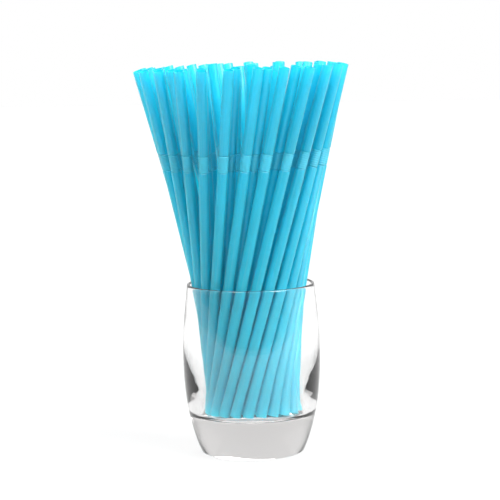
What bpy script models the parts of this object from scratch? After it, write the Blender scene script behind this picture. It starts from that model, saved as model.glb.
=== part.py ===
"""A clear tumbler with a heavy foot that holds a twisted sheaf of flexible drinking straws.

Units are metres, +Z is up, and the origin is the centre of the tumbler's underside.
The straws stand in two rings. Each is a thin-walled tube with a pleated neck. The bendable straws,
on the front and the sides of the outer ring, are two objects that meet at the middle of the neck:
the stem, which slides along its own axis in the sheaf, and the tip, which bends outwards at the
neck. Every other straw is one object, which slides.
Each object has its own origin where it moves: a stem or a whole straw at its foot, a tip at its
bending edge.
"""

import math

import bpy
import numpy as np
from mathutils import Matrix, Vector

MM = 0.001

# Tumbler, in millimetres.
GLASS_HEIGHT = 100.0
FLOOR_Z = 22.6            # middle of the inside floor, above the solid glass foot
REST_Z = 25.2             # the straws stand on the rounding between floor and wall
OUTER_PROFILE = (         # radius, height, from the foot up to the rim
    (27.0, 0.0),
    (29.2, 0.6),
    (30.6, 2.4),
    (33.4, 9.6),
    (36.0, 19.0),
    (38.3, 30.0),
    (39.8, 45.0),
    (40.2, 60.0),
    (39.7, 74.0),
    (38.4, 88.0),
    (37.3, 98.6),
)
INNER_PROFILE = (         # radius, height, from the rim down to the middle of the floor
    (35.5, 98.8),
    (36.5, 88.0),
    (37.5, 74.0),
    (37.8, 62.0),
    (37.0, 53.0),
    (35.4, 45.0),
    (33.5, 38.0),
    (31.9, 32.0),
    (31.1, 28.0),
    (30.6, 25.6),
    (29.3, 24.0),
    (26.0, 23.1),
    (20.0, FLOOR_Z),
)
RIM_TOP = (36.4, GLASS_HEIGHT)
GLASS_SIDES = 40

# Straw, in millimetres.
STRAW_RADIUS = 3.0
WALL = 0.25
LENGTH = 208.0
NECK_START = 148.0        # the pleats begin here, measured from the foot of the straw
NECK_END = 158.0
NECK_MIDDLE = 0.5 * (NECK_START + NECK_END)
PLEATS = 4                # crests along the whole neck in this solid
PLEAT_DEPTH = 0.42
GAP = 0.3                 # left between neighbouring solids
STRAW_SIDES = 8

# Sheaf.
OUTER_STRAWS = 24
INNER_STRAWS = 18
BENDABLE_STRAWS = 17      # of the outer ring, those nearest to -Y
FOOT_RING = 26.4          # radius of the ring of axes at the feet
RIM_RING = 30.6           # radius of the ring of axes at the rim
FOOT_SHIFT = 0.8          # the sheaf as a whole leans a little towards -X
RIM_SHIFT = -0.9
FOOT_REACH = 26.9         # an axis stays within this of the tumbler's axis at the feet
RIM_REACH = 32.0          # and within this at the rim, where the tube meets the glass
INNER_SHARE = 0.77        # the inner ring's radii, as a share of the outer one's
OUTER_START = math.radians(7.0)  # where each ring's first straw stands
INNER_START = math.radians(14.0)
OUTER_TWIST = math.radians(45)   # turn between feet and rim, anticlockwise from above
INNER_TWIST = math.radians(60)
LEAST_SPACING = 2 * STRAW_RADIUS + 0.4
LIFTED_SPAN = 4.0         # top of a fully lifted straw, in units of the height from feet to rim
JITTER_SEED = 5


def material(name, colour, roughness, transmission, ior):
    made = bpy.data.materials.new(name)
    made.use_nodes = True
    shader = made.node_tree.nodes["Principled BSDF"]
    shader.inputs["Base Color"].default_value = (*colour, 1.0)
    shader.inputs["Roughness"].default_value = roughness
    shader.inputs["Metallic"].default_value = 0.0
    shader.inputs["Transmission Weight"].default_value = transmission
    shader.inputs["IOR"].default_value = ior
    made.diffuse_color = (*colour, 1.0)
    return made


def turned(name, outline, sides):
    """A closed body turned about +Z from a loop of (radius, height) points, in millimetres.

    The outline runs anticlockwise in the radius-height plane. A point with radius 0 is a pole.
    """
    rings, points, faces = [], [], []
    for radius, height in outline:
        if radius == 0:
            rings.append([len(points)] * sides)
            points.append((0.0, 0.0, height * MM))
            continue
        rings.append(list(range(len(points), len(points) + sides)))
        for k in range(sides):
            turn = 2 * math.pi * k / sides
            points.append(
                (radius * MM * math.cos(turn), radius * MM * math.sin(turn), height * MM)
            )
    for i, ring in enumerate(rings):
        after = rings[(i + 1) % len(rings)]
        if ring[0] == ring[-1] and after[0] == after[-1]:
            continue
        for k in range(sides):
            n = (k + 1) % sides
            corners = [ring[k], ring[n], after[n], after[k]]
            face = [c for j, c in enumerate(corners) if c not in corners[:j]]
            if len(face) > 2:
                faces.append(face)
    mesh = bpy.data.meshes.new(name)
    mesh.from_pydata(points, [], faces)
    mesh.validate()
    mesh.update()
    mesh.shade_smooth()
    mesh.set_sharp_from_angle(angle=math.radians(35))
    return mesh


def pleated(start, end):
    """Outer radii of the neck between two distances from the foot: crests and valleys by turns."""
    step = (NECK_END - NECK_START) / (2 * PLEATS)
    found = []
    for k in range(2 * PLEATS + 1):
        at = NECK_START + k * step
        if start < at < end:
            radius = STRAW_RADIUS - (PLEAT_DEPTH if k % 2 else 0.0)
            found.append((radius, at))
    return found


def tube_outline(start, end):
    """Outline of one length of straw, with its pleats, between two distances from the foot."""
    shoulder = 1.2
    bore, throat = STRAW_RADIUS - WALL, STRAW_RADIUS - PLEAT_DEPTH - WALL
    cut_below = NECK_START < start < NECK_END
    cut_above = NECK_START < end < NECK_END
    outer = [(STRAW_RADIUS, start), *pleated(start, end), (STRAW_RADIUS, end)]
    inner = []
    if not cut_above:
        inner.append((bore, end))
        if start < NECK_END < end:
            inner.append((bore, NECK_END + shoulder))
            inner.append((throat, NECK_END - 0.2))
    else:
        inner.append((throat, end))
    if not cut_below:
        if start < NECK_START < end:
            inner.append((throat, NECK_START + 0.2))
            inner.append((bore, NECK_START - shoulder))
        inner.append((bore, start))
    else:
        inner.append((throat, start))
    return outer + inner


def axis_points():
    """Points on every straw's axis at its foot and at the rim, before they are spread apart."""
    rng = np.random.default_rng(JITTER_SEED)
    foot, rim = [], []
    for count, share, start, twist in (
        (OUTER_STRAWS, 1.0, OUTER_START, OUTER_TWIST),
        (INNER_STRAWS, INNER_SHARE, INNER_START, INNER_TWIST),
    ):
        for k in range(count):
            turn = 2 * math.pi * k / count + start
            low = FOOT_RING * share - rng.uniform(0.0, 0.3)
            foot.append([low * math.cos(turn) + FOOT_SHIFT, low * math.sin(turn)])
            turn += twist
            high = RIM_RING * share - rng.uniform(-0.1, 0.5)
            rim.append([high * math.cos(turn) + RIM_SHIFT, high * math.sin(turn)])
    return np.array(foot), np.array(rim)


def spread(foot, rim):
    """Moves the axes apart, sideways, until every pair keeps its spacing over the whole length."""
    rise = GLASS_HEIGHT - REST_Z
    heights = np.linspace(0.0, LIFTED_SPAN, 131)
    first, second = np.triu_indices(len(foot), 1)
    row = np.arange(len(first))
    for _ in range(900):
        slope = rim - foot
        between = foot[first] - foot[second]
        turning = slope[first] - slope[second]
        at = between[:, None, :] + heights[None, :, None] * turning[:, None, :]
        apart = np.linalg.norm(at, axis=2)
        nearest = apart.argmin(axis=1)
        least = apart[row, nearest]
        mean = 0.5 * (slope[first] + slope[second]) / rise
        way = at[row, nearest] / least[:, None]
        # a horizontal gap between leaning tubes is wider than the true one
        across = (mean * way).sum(axis=1)
        wanted = LEAST_SPACING * np.sqrt(1 + across**2) + 0.02
        short = np.clip(wanted - least, 0.0, None)
        push = 0.25 * short[:, None] * way
        u = np.clip(heights[nearest], 0.0, 1.0)[:, None]
        moves = ((foot, 1.15 - u), (rim, 0.15 + u))
        for points, weight in moves:
            np.add.at(points, first, push * weight)
            np.add.at(points, second, -push * weight)
        for points, most in ((foot, FOOT_REACH), (rim, RIM_REACH)):
            radius = np.linalg.norm(points, axis=1)
            over = np.clip(most / radius, None, 1.0)
            points *= over[:, None]
        if short.max() < 0.01:
            break
    return foot, rim


def frame_on(origin, direction, outward):
    """A frame at origin with +Z along the direction and +X towards the outward side."""
    z = direction.normalized()
    x = (outward - outward.dot(z) * z).normalized()
    y = z.cross(x)
    turn = Matrix((x, y, z)).transposed().to_4x4()
    return Matrix.Translation(origin) @ turn


def add(name, mesh, look, collection):
    obj = bpy.data.objects.new(name, mesh)
    collection.objects.link(obj)
    obj.data.materials.clear()
    obj.data.materials.append(look)
    return obj


def straw_stand(low, high):
    """The frame at a straw's foot: +Z up the tube, +X outwards, the foot just clear of the glass."""
    direction = (high - low).normalized()
    # the lowest edge of the leaning tube clears the glass by the gap
    above = GAP + STRAW_RADIUS * math.sin(math.acos(direction.z))
    start = low + direction * (above / direction.z)
    neck = start + direction * NECK_MIDDLE
    return frame_on(start * MM, direction, Vector((neck.x, neck.y, 0.0)))


def add_bendable(name, stand, look, collection):
    """A straw in two objects: the stem stands in the sheaf, and the tip is its child."""
    outline = tube_outline(0.0, NECK_MIDDLE - 0.5 * GAP)
    stem = add(f"{name}_stem", turned(f"{name}_stem", outline, STRAW_SIDES), look, collection)
    stem.matrix_world = stand
    outline = tube_outline(NECK_MIDDLE + 0.5 * GAP, LENGTH)
    mesh = turned(f"{name}_tip", outline, STRAW_SIDES)
    edge = Vector((STRAW_RADIUS, 0.0, NECK_MIDDLE)) * MM
    mesh.transform(Matrix.Translation(-edge))
    tip = add(f"{name}_tip", mesh, look, collection)
    tip.parent = stem
    tip.location = edge


def main():
    for old in list(bpy.data.objects):
        bpy.data.objects.remove(old, do_unlink=True)
    home = bpy.context.scene.collection

    clear_glass = material("clear_glass", (0.93, 0.96, 0.97), 0.02, 1.0, 1.5)
    blue_plastic = material("light_blue_polypropylene", (0.18, 0.67, 0.86), 0.28, 0.45, 1.49)

    outline = [(0.0, 0.0), *OUTER_PROFILE, RIM_TOP, *INNER_PROFILE, (0.0, FLOOR_Z)]
    add("tumbler", turned("tumbler", outline, GLASS_SIDES), clear_glass, home)

    foot, rim = spread(*axis_points())
    stands = [
        straw_stand(Vector((*low, REST_Z)), Vector((*high, GLASS_HEIGHT)))
        for low, high in zip(foot, rim)
    ]
    outer = range(OUTER_STRAWS)
    necks = [(stands[k] @ Vector((0.0, 0.0, NECK_MIDDLE * MM))).y for k in outer]
    bendable = sorted(outer, key=lambda k: necks[k])[:BENDABLE_STRAWS]
    for k, stand in enumerate(stands):
        name = f"straw_{k + 1:02d}"
        if k in bendable:
            add_bendable(name, stand, blue_plastic, home)
            continue
        if k >= OUTER_STRAWS:
            name = f"inner_straw_{k - OUTER_STRAWS + 1:02d}"
        mesh = turned(name, tube_outline(0.0, LENGTH), STRAW_SIDES)
        add(name, mesh, blue_plastic, home).matrix_world = stand


main()
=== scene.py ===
"""Looks of the tumbler of flexible drinking straws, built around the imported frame.

Every straw of the frame is replaced by a finer tube with a real wall and a folded, pleated neck,
and the tumbler by a smooth turned glass. The scene is in metres, +Z up, in the frame's own place;
the shapes' numbers are in millimetres where a comment says so.
"""

import math

import bpy
import numpy as np
from mathutils import Matrix, Vector


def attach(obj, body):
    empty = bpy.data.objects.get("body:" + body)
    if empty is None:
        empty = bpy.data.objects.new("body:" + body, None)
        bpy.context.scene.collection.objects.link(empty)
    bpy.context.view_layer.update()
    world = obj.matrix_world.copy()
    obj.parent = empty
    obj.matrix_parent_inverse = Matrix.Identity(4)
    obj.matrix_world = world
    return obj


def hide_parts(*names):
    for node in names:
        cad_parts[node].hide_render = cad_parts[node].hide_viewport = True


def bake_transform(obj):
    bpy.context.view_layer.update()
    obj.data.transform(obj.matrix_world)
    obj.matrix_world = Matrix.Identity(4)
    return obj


MM = 0.001

# Straw, in millimetres along it from its foot.
STRAW_RADIUS = 3.0
WALL = 0.22
NECK_START = 148.0
NECK_END = 158.0
FOLDS = 8                 # pleats of the neck, pushed together
FOLD_DEPTH = 0.28
FOLD_SHAPE = ((0.42, 0.10), (0.60, 0.01), (0.78, 0.06))  # (share of a pleat, depth) of its ridge
CREASE_AT = 1.04          # where the crease after a pleat lies, in the same shares
COLLAR_DEPTH = 0.62       # the deeper groove at each end of the neck
STRAW_SIDES = 28
STRAW_SHARP = 60          # degrees between faces that shade as an edge
NECK_EDGE = 0.4           # half the length over which the neck's look fades in
END_RING = 1e-5           # metres within which a point belongs to a tube's end

# Straws in the middle of the sheaf: for each ring its count, its radius at the floor and at the
# rim in millimetres, and where its first straw stands in degrees.
CORE_RINGS = ((11, 13.5, 15.3, 28.0), (3, 4.9, 9.0, 66.0))
CORE_TWIST = math.radians(70)
CORE_LENGTH = 205.5       # their necks are pushed together a little more tightly
CORE_GAP = 0.3            # between their feet and the floor of the glass
CORE_SPACING = 6.3        # least distance between the axes of two straws
CORE_ROUNDS = 300
CORE_PUSH = 0.3           # share of an overlap that one round takes away
CORE_LEVELS = 90          # heights at which distances are measured, from the floor of the glass
CORE_REACH = 300.0        # to this far above it

# Tumbler, in millimetres: radius and height, from the foot up and from the rim down.
GLASS_HEIGHT = 100.0
FLOOR_Z = 22.6
OUTER_PROFILE = (
    (27.0, 0.0),
    (29.2, 0.6),
    (30.6, 2.4),
    (33.4, 9.6),
    (36.0, 19.0),
    (38.3, 30.0),
    (39.8, 45.0),
    (40.2, 60.0),
    (39.7, 74.0),
    (38.4, 88.0),
    (37.3, 98.6),
)
INNER_PROFILE = (
    (35.5, 98.8),
    (36.5, 88.0),
    (37.5, 74.0),
    (37.8, 62.0),
    (37.0, 53.0),
    (35.4, 45.0),
    (33.5, 38.0),
    (31.9, 32.0),
    (31.1, 28.0),
    (30.6, 25.6),
    (29.3, 24.0),
    (26.0, 23.1),
    (20.0, FLOOR_Z),
)
PUNT_RADIUS = 25.6        # a shallow hollow under the foot
PUNT_DEPTH = 1.2
GLASS_SIDES = 128
SPLINE_STEPS = 6

# Camera, in metres and degrees.
CAMERA_DISTANCE = 1.26
CAMERA_HEIGHT = 0.268
AIM_HEIGHT = 0.1192
CAMERA_ROLL = 0.9
FOCAL_SHARE = 2177 / 500  # focal length over the picture's width
SENSOR = 36.0

# Studio light.
BACK_LIGHT = 0.95         # strength of the white room behind the object
ROOM_LIGHT = 0.25         # and on this side of it
CEILING_LIGHT = 1.0       # and overhead
WINDOW_SIDE = (0.95, -0.05, 0.3)  # direction of a soft window at the right
WINDOW_LIGHT = 0.5        # what it adds
SUNS = (                  # direction, width in degrees, strength, whether gloss mirrors it
    ("key", (1.0, -0.7, 0.8), 45.0, 5.5, True),
    ("fill", (-0.6, -1.0, 1.0), 50.0, 3.2, True),
    ("back", (0.2, 0.9, 0.8), 50.0, 2.2, False),
)

# Pale floor, in metres: half its width, its near and far edges, and how far it lies below Z = 0.
FLOOR_HALF_WIDTH = 3.0
FLOOR_NEAR = -0.53
FLOOR_FAR = 4.0
FLOOR_DROP = 0.0002


# Meshes

def lathe(name, outline, sides):
    """A closed body turned about +Z from a loop of (radius, height) points in millimetres.

    A radius of 0 is a pole.
    """
    points, rings = [], []
    for radius, height in outline:
        if radius == 0:
            rings.append([len(points)] * sides)
            points.append((0.0, 0.0, height * MM))
            continue
        rings.append(list(range(len(points), len(points) + sides)))
        for k in range(sides):
            turn = 2 * math.pi * k / sides
            points.append(
                (radius * MM * math.cos(turn), radius * MM * math.sin(turn), height * MM)
            )
    faces = []
    for i, ring in enumerate(rings):
        after = rings[(i + 1) % len(rings)]
        if ring[0] == ring[-1] and after[0] == after[-1]:
            continue
        for k in range(sides):
            n = (k + 1) % sides
            corners = [ring[k], ring[n], after[n], after[k]]
            faces.append([c for j, c in enumerate(corners) if c not in corners[:j]])
    mesh = bpy.data.meshes.new(name)
    mesh.from_pydata(points, [], faces)
    mesh.update()
    mesh.shade_smooth()
    return mesh


def spline(points, steps):
    """A smooth curve through the points (Catmull-Rom), with the ends kept."""
    pts = [np.array(p, float) for p in points]
    pts = [2 * pts[0] - pts[1], *pts, 2 * pts[-1] - pts[-2]]
    found = []
    for a, b, c, d in zip(pts, pts[1:], pts[2:], pts[3:]):
        for k in range(steps):
            t = k / steps
            found.append(
                0.5
                * (
                    2 * b
                    + (c - a) * t
                    + (2 * a - 5 * b + 4 * c - d) * t**2
                    + (3 * b - a - 3 * c + d) * t**3
                )
            )
    found.append(pts[-2])
    return [tuple(p) for p in found]


def arc(centre, radius, start, end, steps):
    """Points on a circular arc in the radius-height plane, angles in degrees, ends left out."""
    found = []
    for k in range(1, steps):
        turn = math.radians(start + (end - start) * k / steps)
        found.append((centre[0] + radius * math.cos(turn), centre[1] + radius * math.sin(turn)))
    return found


# Straws

def neck_outline():
    """(radius, distance from the foot) down the outside of the pushed-together neck."""
    pitch = (NECK_END - NECK_START) / FOLDS
    # the tube's shoulder and the first groove, the pleats, the last groove and the other shoulder
    found = [
        (STRAW_RADIUS, NECK_START - 0.6),
        (STRAW_RADIUS - 0.12, NECK_START - 0.2),
        (STRAW_RADIUS - COLLAR_DEPTH, NECK_START + 0.15),
    ]
    for k in range(FOLDS):
        low = NECK_START + k * pitch
        found += [(STRAW_RADIUS - depth, low + share * pitch) for share, depth in FOLD_SHAPE]
        if k < FOLDS - 1:
            found.append((STRAW_RADIUS - FOLD_DEPTH, low + CREASE_AT * pitch))
    found += [
        (STRAW_RADIUS - COLLAR_DEPTH, NECK_END + 0.05),
        (STRAW_RADIUS - 0.12, NECK_END + 0.35),
        (STRAW_RADIUS, NECK_END + 0.8),
    ]
    return found


def straw_mesh(name, length):
    """A tube with a wall and a pleated neck, standing on its foot along +Z."""
    outer = [(STRAW_RADIUS, 0.0), *neck_outline(), (STRAW_RADIUS, length)]
    inner = [(radius - WALL, at) for radius, at in reversed(outer)]
    mesh = lathe(name, outer + inner, STRAW_SIDES)
    mesh.set_sharp_from_angle(angle=math.radians(STRAW_SHARP))
    return mesh


def store_place(mesh):
    """Stores each point's place on the tube: a unit circle around it and metres along it."""
    co = np.array([v.co for v in mesh.vertices])
    turn = np.arctan2(co[:, 1], co[:, 0])
    place = np.stack([np.cos(turn), np.sin(turn), co[:, 2]], axis=1)
    mesh.attributes.new("tube", "FLOAT_VECTOR", "POINT").data.foreach_set(
        "vector", place.astype(np.float32).ravel()
    )


def end_centre(points, direction, high):
    """The middle of a tube's end ring."""
    along = points @ direction
    at_end = along > along.max() - END_RING if high else along < along.min() + END_RING
    ring = np.unique(np.round(points[at_end], 6), axis=0)
    return ring.mean(axis=0)


def node_points(nodes):
    """Every point of these nodes' solids."""
    return np.concatenate(
        [np.array([v.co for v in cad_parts[n].data.vertices], float) for n in nodes]
    )


def tube_axis(nodes):
    """Foot and mouth of a straw, read from its solids' end rings."""
    points = node_points(nodes)
    spread = points - points.mean(axis=0)
    direction = np.linalg.svd(spread, full_matrices=False)[2][0]
    direction *= np.sign(direction[2])
    for _ in range(2):
        foot = end_centre(points, direction, high=False)
        mouth = end_centre(points, direction, high=True)
        direction = (mouth - foot) / np.linalg.norm(mouth - foot)
    return Vector(foot), Vector(mouth)


def core_axes(fixed):
    """Feet and rim-height points, in mm, of the straws in the middle of the sheaf.

    They start in rings and are moved sideways until they clear each other and the fixed straws,
    which are given the same way.
    """
    low, high = [], []
    for count, radius, spread, start in CORE_RINGS:
        for k in range(count):
            turn = 2 * math.pi * k / count + math.radians(start)
            low.append([radius * math.cos(turn), radius * math.sin(turn)])
            turn += CORE_TWIST
            high.append([spread * math.cos(turn), spread * math.sin(turn)])
    low, high = np.array(low), np.array(high)
    top = CORE_REACH / (GLASS_HEIGHT - FLOOR_Z)
    levels = np.linspace(0.0, top, CORE_LEVELS)[None, :, None]
    held = fixed[0][:, None, :] + levels * (fixed[1] - fixed[0])[:, None, :]
    first, second = np.triu_indices(len(low), 1)
    alone = np.repeat(np.arange(len(low)), len(held))
    for _ in range(CORE_ROUNDS):
        path = low[:, None, :] + levels * (high - low)[:, None, :]
        to_held = (path[:, None] - held[None]).reshape(-1, levels.size, 2)
        pairs = ((path[first] - path[second], first, second), (to_held, alone, None))
        move_low, move_high = np.zeros_like(low), np.zeros_like(high)
        for between, mine, theirs in pairs:
            apart = np.linalg.norm(between, axis=2)
            row = np.arange(len(mine))
            nearest = apart.argmin(axis=1)
            least = apart[row, nearest]
            push = (CORE_PUSH * np.clip(CORE_SPACING - least, 0.0, None) / least)[:, None]
            push = push * between[row, nearest]
            # a touch near the foot moves mostly the foot, one further up mostly the top
            u = np.clip(levels[0, nearest], 0.0, 1.0)
            for moves, weight in ((move_low, 1.15 - u), (move_high, 0.15 + u)):
                np.add.at(moves, mine, push * weight)
                if theirs is not None:
                    np.add.at(moves, theirs, -push * weight)
        low += move_low
        high += move_high
    return low, high


def crossing(foot, mouth, height):
    """Where a straw's axis passes a height, in mm; the axis is given in metres."""
    way = (mouth - foot) / (mouth.z - foot.z)
    point = foot + way * (height * MM - foot.z)
    return [point.x / MM, point.y / MM]


def stand(foot, mouth):
    """The frame at a straw's foot with +Z up the tube."""
    z = (mouth - foot).normalized()
    x = Vector((0.0, 1.0, 0.0)).cross(z).normalized()
    y = z.cross(x)
    return Matrix.Translation(foot) @ Matrix((x, y, z)).transposed().to_4x4()


def straws_of_frame():
    """(straw's name, its nodes) for every straw, bendable or whole."""
    found = {}
    for node in sorted(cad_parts):
        if node == "tumbler":
            continue
        straw = node.removesuffix("_stem").removesuffix("_tip")
        found.setdefault(straw, []).append(node)
    return found


def add_straw(name, foot, mouth, look):
    """One straw as a piece of its own, from its foot to its mouth."""
    mesh = straw_mesh(name, (mouth - foot).length / MM)
    store_place(mesh)
    mesh.materials.append(look)
    piece = bpy.data.objects.new(name, mesh)
    bpy.context.scene.collection.objects.link(piece)
    piece.matrix_world = stand(foot, mouth)
    return piece


def make_straws(look):
    """Every straw of the frame, and then the ones in the middle that the frame has no room for."""
    lows, highs = [], []
    for name, nodes in straws_of_frame().items():
        foot, mouth = tube_axis(nodes)
        piece = add_straw(f"{name}_tube", foot, mouth, look)
        lows.append(crossing(foot, mouth, FLOOR_Z))
        highs.append(crossing(foot, mouth, GLASS_HEIGHT))
        if len(nodes) == 2:
            up = (mouth - foot).normalized()
            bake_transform(piece)
        else:
            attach(piece, name)
        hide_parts(*nodes)
    core = core_axes((np.array(lows), np.array(highs)))
    for k, (low, high) in enumerate(zip(*core)):
        foot = Vector((*low, FLOOR_Z)) * MM
        rim = Vector((*high, GLASS_HEIGHT)) * MM
        up = (rim - foot).normalized()
        foot += up * (CORE_GAP + STRAW_RADIUS * math.sin(math.acos(up.z))) * MM / up.z
        piece = add_straw(f"core_straw_{k + 1:02d}", foot, foot + up * CORE_LENGTH * MM, look)
        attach(piece, "tumbler")


# Tumbler

def tumbler_outline():
    """The loop of the glass: under the foot, up the outside, over the lip and down the inside."""
    punt = [
        (PUNT_RADIUS * math.sin(math.radians(a)), PUNT_DEPTH * math.cos(math.radians(a)) ** 2)
        for a in range(0, 91, 10)
    ]
    outer = spline(OUTER_PROFILE, SPLINE_STEPS)
    inner = spline(INNER_PROFILE, SPLINE_STEPS)
    lip_out, lip_in = outer[-1][0], inner[0][0]
    lip_radius = 0.5 * (lip_out - lip_in)
    lip = arc((0.5 * (lip_out + lip_in), GLASS_HEIGHT - lip_radius), lip_radius, 0, 180, 10)
    floor = [(INNER_PROFILE[-1][0] * (1 - k / 6), FLOOR_Z) for k in range(1, 7)]
    return punt + outer + lip + inner + floor


def make_tumbler(look):
    mesh = lathe("tumbler_glass", tumbler_outline(), GLASS_SIDES)
    mesh.materials.append(look)
    piece = bpy.data.objects.new("tumbler_glass", mesh)
    bpy.context.scene.collection.objects.link(piece)
    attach(piece, "tumbler")
    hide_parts("tumbler")


# Materials

def new_material(name):
    made = bpy.data.materials.new(name)
    made.use_nodes = True
    tree = made.node_tree
    return made, tree, tree.nodes["Principled BSDF"], tree.nodes["Material Output"]


def node(tree, kind, **inputs):
    """A new node, with its inputs' values given by name."""
    made = tree.nodes.new(kind)
    for key, value in inputs.items():
        made.inputs[key.replace("_", " ")].default_value = value
    return made


def ramp(tree, source, stops):
    """A colour ramp over the source, with stops of (position, colour)."""
    made = tree.nodes.new("ShaderNodeValToRGB")
    elements = made.color_ramp.elements
    while len(elements) < len(stops):
        elements.new(0.5)
    for element, (position, colour) in zip(elements, stops):
        element.position = position
        element.color = (*colour, 1.0)
    tree.links.new(source, made.inputs["Fac"])
    return made.outputs["Color"]


def calculate(tree, operation, *sources):
    """A Math node over sockets or numbers."""
    made = tree.nodes.new("ShaderNodeMath")
    made.operation = operation
    for k, source in enumerate(sources):
        if isinstance(source, (int, float)):
            made.inputs[k].default_value = source
        else:
            tree.links.new(source, made.inputs[k])
    return made.outputs[0]


def ease(tree, source, between, values, interpolation="SMOOTHSTEP"):
    """Goes from one value to another as the source passes between two limits."""
    made = tree.nodes.new("ShaderNodeMapRange")
    made.interpolation_type = interpolation
    made.inputs["From Min"].default_value, made.inputs["From Max"].default_value = between
    made.inputs["To Min"].default_value, made.inputs["To Max"].default_value = values
    tree.links.new(source, made.inputs["Value"])
    return made.outputs["Result"]


def polypropylene():
    """Light blue translucent plastic: softly glossy, milkier where the neck is folded."""
    made, tree, shader, _ = new_material("light_blue_polypropylene")
    place = tree.nodes.new("ShaderNodeAttribute")
    place.attribute_name = "tube"
    apart = tree.nodes.new("ShaderNodeSeparateXYZ")
    tree.links.new(place.outputs["Vector"], apart.inputs[0])

    # faint streaks drawn along the tube as it was extruded
    stretch = tree.nodes.new("ShaderNodeMapping")
    stretch.inputs["Scale"].default_value = (5.0, 5.0, 9.0)
    tree.links.new(place.outputs["Vector"], stretch.inputs["Vector"])
    streaks = node(tree, "ShaderNodeTexNoise", Scale=1.0, Detail=4.0, Roughness=0.6)
    tree.links.new(stretch.outputs["Vector"], streaks.inputs["Vector"])
    colour = ramp(
        tree,
        streaks.outputs["Fac"],
        ((0.30, (0.00, 0.84, 0.99)), (0.70, (0.02, 0.88, 1.00))),
    )
    # the folds of the neck lie three walls deep, so they are milkier
    middle = 0.5 * (NECK_START + NECK_END) * MM
    half = 0.5 * (NECK_END - NECK_START) * MM
    away = calculate(tree, "ABSOLUTE", calculate(tree, "SUBTRACT", apart.outputs["Z"], middle))
    edge = NECK_EDGE * MM
    neck = ease(tree, away, (half + edge, half - edge), (0.0, 1.0))
    milky = tree.nodes.new("ShaderNodeMix")
    milky.data_type = "RGBA"
    milky.inputs["B"].default_value = (0.07, 0.80, 0.94, 1.0)
    tree.links.new(neck, milky.inputs["Factor"])
    tree.links.new(colour, milky.inputs["A"])
    tree.links.new(milky.outputs["Result"], shader.inputs["Base Color"])
    through = ease(tree, neck, (0.0, 1.0), (0.88, 0.78), "LINEAR")
    tree.links.new(through, shader.inputs["Transmission Weight"])

    rough = ease(tree, streaks.outputs["Fac"], (0.0, 1.0), (0.38, 0.46), "LINEAR")
    tree.links.new(rough, shader.inputs["Roughness"])
    bump = node(tree, "ShaderNodeBump", Strength=0.15, Distance=0.0002)
    tree.links.new(streaks.outputs["Fac"], bump.inputs["Height"])
    tree.links.new(bump.outputs["Normal"], shader.inputs["Normal"])
    shader.inputs["IOR"].default_value = 1.49
    shader.inputs["Specular IOR Level"].default_value = 0.35
    shader.inputs["Coat Weight"].default_value = 0.20
    shader.inputs["Coat Roughness"].default_value = 0.22
    shader.inputs["Sheen Weight"].default_value = 0.45
    shader.inputs["Sheen Roughness"].default_value = 0.4
    shader.inputs["Sheen Tint"].default_value = (0.35, 0.85, 1.0, 1.0)
    return made


def clear_glass():
    """Colourless polished glass, with painted shade in its thick foot; lamps shine through it."""
    made, tree, shader, output = new_material("clear_glass")
    shader.inputs["Base Color"].default_value = (0.985, 0.99, 0.99, 1.0)
    shader.inputs["Roughness"].default_value = 0.0
    shader.inputs["Transmission Weight"].default_value = 1.0
    shader.inputs["IOR"].default_value = 1.5
    # hardly visible waviness from pressing
    waves = node(tree, "ShaderNodeTexNoise", Scale=70.0, Detail=1.0)
    place = tree.nodes.new("ShaderNodeTexCoord")
    tree.links.new(place.outputs["Object"], waves.inputs["Vector"])
    bump = node(tree, "ShaderNodeBump", Strength=0.08, Distance=0.001)
    tree.links.new(waves.outputs["Fac"], bump.inputs["Height"])
    tree.links.new(bump.outputs["Normal"], shader.inputs["Normal"])
    path = tree.nodes.new("ShaderNodeLightPath")
    through = tree.nodes.new("ShaderNodeBsdfTransparent")
    through.inputs["Color"].default_value = (0.86, 0.87, 0.87, 1.0)
    mix = tree.nodes.new("ShaderNodeMixShader")
    tree.links.new(path.outputs["Is Shadow Ray"], mix.inputs["Fac"])
    tree.links.new(shader.outputs["BSDF"], mix.inputs[1])
    tree.links.new(through.outputs["BSDF"], mix.inputs[2])
    tree.links.new(mix.outputs["Shader"], output.inputs["Surface"])
    # painted shade: the glass absorbs light as a grey tint, and only the thick foot is deep enough
    # to look grey, as if the floor beneath it lay in shade
    body = node(tree, "ShaderNodeVolumeAbsorption", Density=5.8)
    body.inputs["Color"].default_value = (0.12, 0.06, 0.04, 1.0)
    tree.links.new(body.outputs["Volume"], output.inputs["Volume"])
    return made


def floor_white():
    """The milky top of a light table: it glows enough to hide nearly every shadow."""
    made, tree, shader, _ = new_material("floor_white")
    grain = node(tree, "ShaderNodeTexNoise", Scale=40.0, Detail=3.0)
    colour = ramp(
        tree,
        grain.outputs["Fac"],
        ((0.3, (0.13, 0.13, 0.13)), (0.7, (0.15, 0.15, 0.15))),
    )
    tree.links.new(colour, shader.inputs["Base Color"])
    shader.inputs["Emission Color"].default_value = (1.0, 1.0, 1.0, 1.0)
    shader.inputs["Emission Strength"].default_value = 0.66
    made.cycles.emission_sampling = "NONE"
    shader.inputs["Roughness"].default_value = 0.7
    shader.inputs["Specular IOR Level"].default_value = 0.2
    return made


# Studio

def make_floor():
    mesh = bpy.data.meshes.new("floor")
    corners = [
        (-FLOOR_HALF_WIDTH, FLOOR_NEAR, 0.0),
        (FLOOR_HALF_WIDTH, FLOOR_NEAR, 0.0),
        (FLOOR_HALF_WIDTH, FLOOR_FAR, 0.0),
        (-FLOOR_HALF_WIDTH, FLOOR_FAR, 0.0),
    ]
    mesh.from_pydata(corners, [], [(0, 1, 2, 3)])
    mesh.materials.append(floor_white())
    floor = bpy.data.objects.new("floor", mesh)
    bpy.context.scene.collection.objects.link(floor)
    floor.location.z = -FLOOR_DROP


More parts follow.
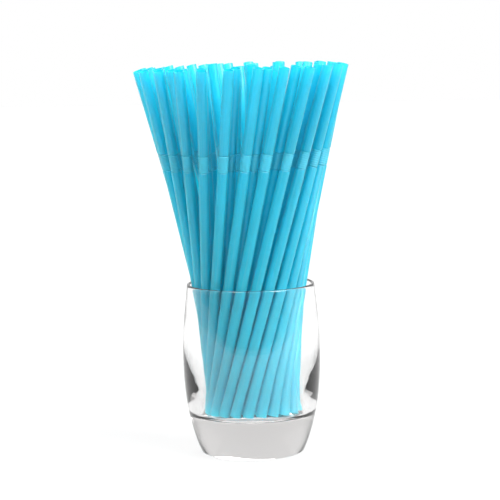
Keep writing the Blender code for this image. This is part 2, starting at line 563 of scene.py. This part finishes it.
def aim(obj, place, target, roll=0.0):
    """Puts a camera or lamp at a place, looking at the target."""
    look = Vector(target) - Vector(place)
    turned = look.to_track_quat("-Z", "Y").to_matrix().to_4x4()
    obj.matrix_world = Matrix.Translation(place) @ turned @ Matrix.Rotation(roll, 4, "Z")


def make_camera():
    data = bpy.data.cameras.new("camera")
    data.sensor_width = SENSOR
    data.lens = SENSOR * FOCAL_SHARE
    data.clip_end = 30.0
    camera = bpy.data.objects.new("camera", data)
    bpy.context.scene.collection.objects.link(camera)
    aim(
        camera,
        (0.0, -CAMERA_DISTANCE, CAMERA_HEIGHT),
        (0.0, 0.0, AIM_HEIGHT),
        -math.radians(CAMERA_ROLL),
    )
    bpy.context.scene.camera = camera


def sun(name, place, spread, strength, mirrored):
    """A wide, soft lamp far away in the direction of the place, mirrored by gloss or not."""
    data = bpy.data.lights.new(name, "SUN")
    data.angle = math.radians(spread)
    data.energy = strength
    lamp = bpy.data.objects.new(name, data)
    lamp.visible_glossy = mirrored
    bpy.context.scene.collection.objects.link(lamp)
    aim(lamp, place, (0.0, 0.0, 0.0))


def make_world():
    """A white room, brightest behind the object and darker on this side of it.

    To the eye it is white all over. A broad soft window on the right gives the straws their sheen.
    """
    world = bpy.data.worlds.new("studio")
    bpy.context.scene.world = world
    world.use_nodes = True
    tree = world.node_tree
    back = tree.nodes["Background"]
    place = tree.nodes.new("ShaderNodeTexCoord")
    apart = tree.nodes.new("ShaderNodeSeparateXYZ")
    tree.links.new(place.outputs["Generated"], apart.inputs[0])
    behind = ease(tree, apart.outputs["Y"], (0.05, 0.75), (ROOM_LIGHT, BACK_LIGHT))
    above = ease(tree, apart.outputs["Z"], (0.35, 0.7), (0.0, CEILING_LIGHT))
    light = calculate(tree, "MAXIMUM", behind, above)
    towards = tree.nodes.new("ShaderNodeVectorMath")
    towards.operation = "DOT_PRODUCT"
    tree.links.new(place.outputs["Generated"], towards.inputs[0])
    towards.inputs[1].default_value = Vector(WINDOW_SIDE).normalized()
    window = ease(tree, towards.outputs["Value"], (0.85, 0.97), (0.0, WINDOW_LIGHT))
    light = calculate(tree, "ADD", light, window)
    path = tree.nodes.new("ShaderNodeLightPath")
    seen = tree.nodes.new("ShaderNodeMix")
    tree.links.new(path.outputs["Is Camera Ray"], seen.inputs["Factor"])
    tree.links.new(light, seen.inputs["A"])
    seen.inputs["B"].default_value = 1.0
    tree.links.new(seen.outputs["Result"], back.inputs["Strength"])
    back.inputs["Color"].default_value = (1.0, 1.0, 1.0, 1.0)


def make_studio():
    make_floor()
    make_world()
    for lamp in SUNS:
        sun(*lamp)
    scene = bpy.context.scene
    scene.view_settings.view_transform = "Standard"
    # light passes many walls of plastic and glass
    scene.cycles.max_bounces = 32
    scene.cycles.transmission_bounces = 32
    scene.cycles.diffuse_bounces = 8


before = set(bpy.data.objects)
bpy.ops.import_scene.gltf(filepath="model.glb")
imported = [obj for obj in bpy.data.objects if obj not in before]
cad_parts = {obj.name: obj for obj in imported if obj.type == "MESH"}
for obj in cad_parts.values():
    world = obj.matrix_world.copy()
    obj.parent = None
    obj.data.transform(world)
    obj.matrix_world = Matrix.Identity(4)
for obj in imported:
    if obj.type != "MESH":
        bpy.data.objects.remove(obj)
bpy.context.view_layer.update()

make_camera()
make_studio()
make_straws(polypropylene())
make_tumbler(clear_glass())
